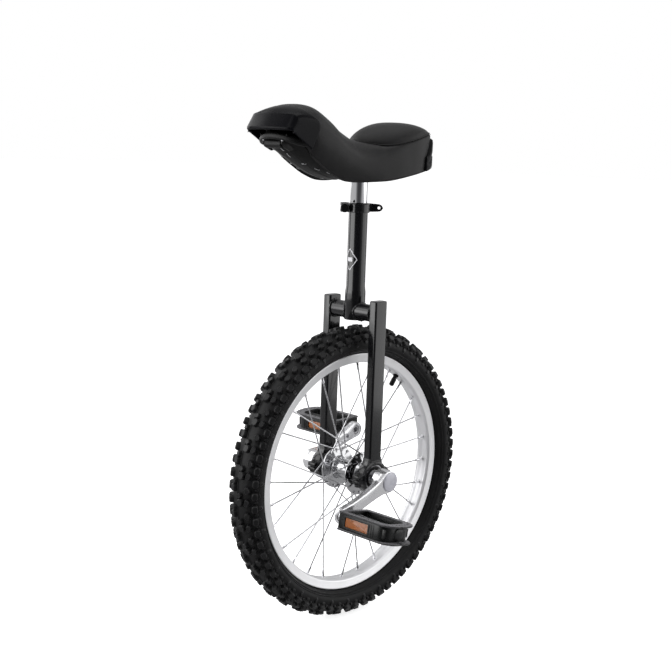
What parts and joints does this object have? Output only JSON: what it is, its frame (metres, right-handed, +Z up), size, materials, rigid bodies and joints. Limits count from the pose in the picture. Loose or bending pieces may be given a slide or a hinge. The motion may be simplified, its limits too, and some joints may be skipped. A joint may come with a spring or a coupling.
{
  "type": "unicycle",
  "caption": "Small-wheel unicycle with a knobbly tyre, crossed spokes, two-legged fork, quick-release seat clamp and a domed saddle with a raised nose and grab handle.",
  "frame": {"origin": "on the ground, straight under the middle of the axle", "axes": "+X forward towards the saddle nose, +Y to the rider's left along the axle, +Z up along the seat tube"},
  "size_m": [0.453, 0.404, 0.7765],
  "materials": {
    "tyre_rubber": "matt black moulded rubber",
    "butyl_rubber": "smooth black butyl",
    "rim_aluminium": "satin silver, machined side band",
    "spoke_steel": "plain drawn steel wire with plated nipples",
    "hub_chrome": "bright plated",
    "axle_steel": "turned and ground steel",
    "crank_metal": "polished",
    "dust_cap_grey": "pale grey moulding",
    "cage_brass": "plain",
    "frame_paint": "gloss black",
    "black_bolt": "blackened steel",
    "clamp_black": "gloss black",
    "post_chrome": "bright plated",
    "zinc_steel": "zinc plated",
    "pedal_plastic": "black moulding",
    "pedal_grey": "grey textured moulding",
    "reflector_amber": "amber prismatic lens",
    "saddle_vinyl": "satin black vinyl cover with fine grain",
    "saddle_base_plastic": "black moulding",
    "bumper_gloss": "gloss black moulding"
  },
  "bodies": {
    "frame": {"seat_tube": "frame_paint", "seat_clamp_collar": "clamp_black", "quick_release_rod": "zinc_steel", "fork_leg_left": "frame_paint", "crown_tube_left": "frame_paint", "bearing_saddle_left": "frame_paint", "bearing_cap_left": "frame_paint", "bearing_outer_race_left": "axle_steel", "fork_leg_right": "frame_paint", "crown_tube_right": "frame_paint", "bearing_saddle_right": "frame_paint", "bearing_cap_right": "frame_paint", "bearing_outer_race_right": "axle_steel", "holder_bolt_left_front": "black_bolt", "holder_bolt_left_rear": "black_bolt", "holder_bolt_right_front": "black_bolt", "holder_bolt_right_rear": "black_bolt"},
    "wheel": {"tyre": "tyre_rubber", "inner_tube": "butyl_rubber", "valve_cap": "pedal_plastic", "rim": "rim_aluminium", "spokes_left": "spoke_steel", "spokes_right": "spoke_steel", "hub_shell": "hub_chrome", "axle": "axle_steel", "bearing_inner_race_left": "axle_steel", "crank_left": "crank_metal", "crank_bolt_left": "zinc_steel", "dust_cap_left": "dust_cap_grey", "pedal_spindle_left": "axle_steel", "bearing_inner_race_right": "axle_steel", "crank_right": "crank_metal", "crank_bolt_right": "zinc_steel", "dust_cap_right": "dust_cap_grey", "pedal_spindle_right": "axle_steel"},
    "left_ball_cage": {"bearing_ball_cage_left": "cage_brass"},
    "right_ball_cage": {"bearing_ball_cage_right": "cage_brass"},
    "left_pedal": {"pedal_body_left": "pedal_plastic", "pedal_plate_left_top": "pedal_grey", "pedal_plate_left_bottom": "pedal_grey", "pedal_reflector_left_front": "reflector_amber", "pedal_reflector_left_rear": "reflector_amber"},
    "right_pedal": {"pedal_body_right": "pedal_plastic", "pedal_plate_right_top": "pedal_grey", "pedal_plate_right_bottom": "pedal_grey", "pedal_reflector_right_front": "reflector_amber", "pedal_reflector_right_rear": "reflector_amber"},
    "saddle": {"seat_post": "post_chrome", "post_plate": "black_bolt", "seat_base": "saddle_base_plastic", "saddle_bolt_front_left": "zinc_steel", "saddle_bolt_front_right": "zinc_steel", "saddle_bolt_rear_left": "zinc_steel", "saddle_bolt_rear_right": "zinc_steel", "seat_cushion": "saddle_vinyl", "front_bumper": "bumper_gloss", "rear_bumper": "bumper_gloss", "grab_handle": "saddle_base_plastic"},
    "quick_release_lever": {"quick_release_lever": "clamp_black"},
    "quick_release_nut": {"quick_release_nut": "clamp_black"}
  },
  "joints": [
    {"name": "wheel_spin", "type": "hinge", "parent": "frame", "child": "wheel", "pos_m": [0, 0, 0.2265], "axis": [0, 1, 0], "continuous": true},
    {"name": "left_cage_spin", "type": "hinge", "parent": "frame", "child": "left_ball_cage", "pos_m": [0, 0.049, 0.2265], "axis": [0, 1, 0], "continuous": true},
    {"name": "right_cage_spin", "type": "hinge", "parent": "frame", "child": "right_ball_cage", "pos_m": [0, -0.049, 0.2265], "axis": [0, 1, 0], "continuous": true},
    {"name": "left_pedal_spin", "type": "hinge", "parent": "wheel", "child": "left_pedal", "pos_m": [0.09118, 0.082, 0.19058], "axis": [0, 1, 0], "continuous": true},
    {"name": "right_pedal_spin", "type": "hinge", "parent": "wheel", "child": "right_pedal", "pos_m": [-0.09118, -0.082, 0.26242], "axis": [0, 1, 0], "continuous": true},
    {"name": "seat_height", "type": "slide", "parent": "frame", "child": "saddle", "axis": [0, 0, 1], "range_m": [-0.028, 0.085]},
    {"name": "lever_swing", "type": "hinge", "parent": "frame", "child": "quick_release_lever", "pos_m": [0.00287, -0.02614, 0.629], "axis": [0, 0, 1], "range_deg": [0, 175]},
    {"name": "nut_turn", "type": "hinge", "parent": "frame", "child": "quick_release_nut", "pos_m": [0.0245, -0.00421, 0.629], "axis": [0.7022, 0.712, 0], "continuous": true}
  ],
  "couplings": [
    {"joint": "left_cage_spin", "follows": "wheel_spin", "ratio": 0.391},
    {"joint": "right_cage_spin", "follows": "wheel_spin", "ratio": 0.391}
  ]
}
